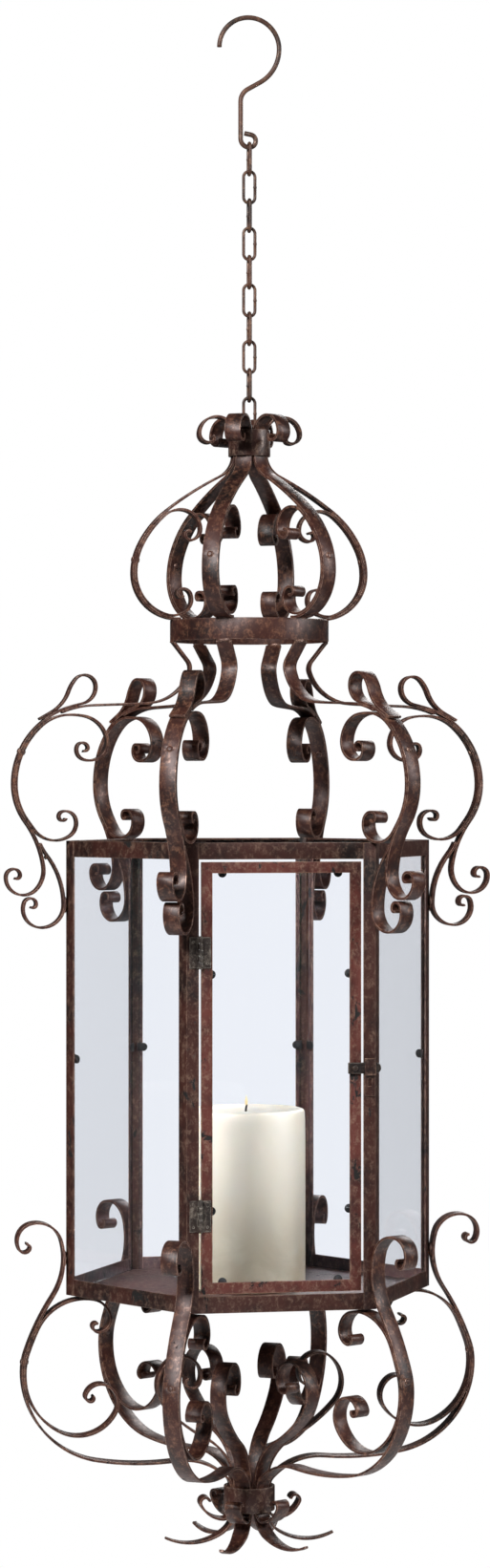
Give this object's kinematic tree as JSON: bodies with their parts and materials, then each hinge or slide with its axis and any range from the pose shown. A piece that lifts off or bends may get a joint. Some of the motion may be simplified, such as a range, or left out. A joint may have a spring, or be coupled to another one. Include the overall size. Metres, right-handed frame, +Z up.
{
  "type": "hanging lantern",
  "caption": "Six-sided scrolled iron candle lantern with glass walls, hinged latched door, open crown, bottom cage and drop finial, hung on a link chain and hook.",
  "frame": {"origin": "the seat of the hook, on the inside of the top of its bend, on the lantern's centre line", "axes": "+Z up; -Y out through the glazed door; +X to the right of someone facing the door, toward the latch"},
  "size_m": [0.4126, 0.3644, 1.2785],
  "materials": {
    "iron": "forged, dark brown, worn",
    "wire": "bent wire, dark brown, worn",
    "door_iron": "rust-red brown, worn",
    "hinge_metal": "dark grey-green, worn",
    "latch_metal": "near-black brown",
    "clip_metal": "black",
    "glass": "clear",
    "wax": "ivory candle wax",
    "wick": "burnt cotton"
  },
  "bodies": {
    "hook": {"hook": "wire"},
    "link_01": {"link_01": "wire"},
    "link_02": {"link_02": "wire"},
    "link_03": {"link_03": "wire"},
    "link_04": {"link_04": "wire"},
    "link_05": {"link_05": "wire"},
    "link_06": {"link_06": "wire"},
    "link_07": {"link_07": "wire"},
    "link_08": {"link_08": "wire"},
    "link_09": {"link_09": "wire"},
    "link_10": {"link_10": "wire"},
    "lantern": {"bottom_collar": "iron", "bottom_rails": "iron", "corner_posts": "iron", "crown_rib_1": "iron", "crown_rib_2": "iron", "crown_rib_3": "iron", "crown_rib_4": "iron", "crown_rib_5": "iron", "crown_rib_6": "iron", "crown_ring": "iron", "crown_scrolls": "iron", "fixed_panes": "glass", "floor_plate": "iron", "foot_scrolls": "iron", "hanger_plate": "iron", "hinge_pins": "hinge_metal", "hinge_post_leaves": "hinge_metal", "keeper_lip": "iron", "latch_keeper": "iron", "lower_bracket_1": "iron", "lower_bracket_2": "iron", "lower_bracket_3": "iron", "lower_bracket_4": "iron", "lower_bracket_5": "iron", "lower_bracket_6": "iron", "lower_scrolls": "iron", "neck_straps": "iron", "pane_clips": "clip_metal", "petals": "iron", "scroll_rivets": "iron", "shoulder_scrolls": "iron", "shoulder_strap_1": "iron", "shoulder_strap_2": "iron", "shoulder_strap_3": "iron", "shoulder_strap_4": "iron", "shoulder_strap_5": "iron", "shoulder_strap_6": "iron", "suspension_bail": "wire", "top_collar": "iron", "top_rails": "iron"},
    "door": {"door_frame": "door_iron", "door_pane": "glass", "door_clips": "clip_metal", "hinge_door_leaves": "hinge_metal", "latch_rivet": "latch_metal"},
    "latch_arm": {"latch_arm": "latch_metal"},
    "candle": {"candle": "wax", "wick": "wick"}
  },
  "joints": [
    {"name": "link_01_swing", "type": "hinge", "parent": "hook", "child": "link_01", "pos_m": [0, 0, -0.10677], "axis": [1, 0, 0], "range_deg": [-15, 15]},
    {"name": "link_02_swing", "type": "hinge", "parent": "link_01", "child": "link_02", "pos_m": [0, 0, -0.1298], "axis": [0, 1, 0], "range_deg": [-15, 15]},
    {"name": "link_03_swing", "type": "hinge", "parent": "link_02", "child": "link_03", "pos_m": [0, 0, -0.1535], "axis": [1, 0, 0], "range_deg": [-15, 15]},
    {"name": "link_04_swing", "type": "hinge", "parent": "link_03", "child": "link_04", "pos_m": [0, 0, -0.1772], "axis": [0, 1, 0], "range_deg": [-15, 15]},
    {"name": "link_05_swing", "type": "hinge", "parent": "link_04", "child": "link_05", "pos_m": [0, 0, -0.2009], "axis": [1, 0, 0], "range_deg": [-15, 15]},
    {"name": "link_06_swing", "type": "hinge", "parent": "link_05", "child": "link_06", "pos_m": [0, 0, -0.2246], "axis": [0, 1, 0], "range_deg": [-15, 15]},
    {"name": "link_07_swing", "type": "hinge", "parent": "link_06", "child": "link_07", "pos_m": [0, 0, -0.2483], "axis": [1, 0, 0], "range_deg": [-15, 15]},
    {"name": "link_08_swing", "type": "hinge", "parent": "link_07", "child": "link_08", "pos_m": [0, 0, -0.272], "axis": [0, 1, 0], "range_deg": [-15, 15]},
    {"name": "link_09_swing", "type": "hinge", "parent": "link_08", "child": "link_09", "pos_m": [0, 0, -0.2957], "axis": [1, 0, 0], "range_deg": [-15, 15]},
    {"name": "link_10_swing", "type": "hinge", "parent": "link_09", "child": "link_10", "pos_m": [0, 0, -0.3194], "axis": [0, 1, 0], "range_deg": [-15, 15]},
    {"name": "lantern_swing", "type": "hinge", "parent": "link_10", "child": "lantern", "pos_m": [0, 0, -0.3431], "axis": [1, 0, 0], "range_deg": [-15, 15]},
    {"name": "door_swing", "type": "hinge", "parent": "lantern", "child": "door", "pos_m": [-0.0665, -0.13613, -0.8755], "axis": [0, 0, -1], "range_deg": [0, 120]},
    {"name": "latch_lift", "type": "hinge", "parent": "door", "child": "latch_arm", "pos_m": [0.06, -0.1358, -0.869], "axis": [0, -1, 0], "range_deg": [0, 100]},
    {"name": "candle_lift", "type": "slide", "parent": "lantern", "child": "candle", "axis": [0, 0, 1], "range_m": [0, 0.15]}
  ]
}
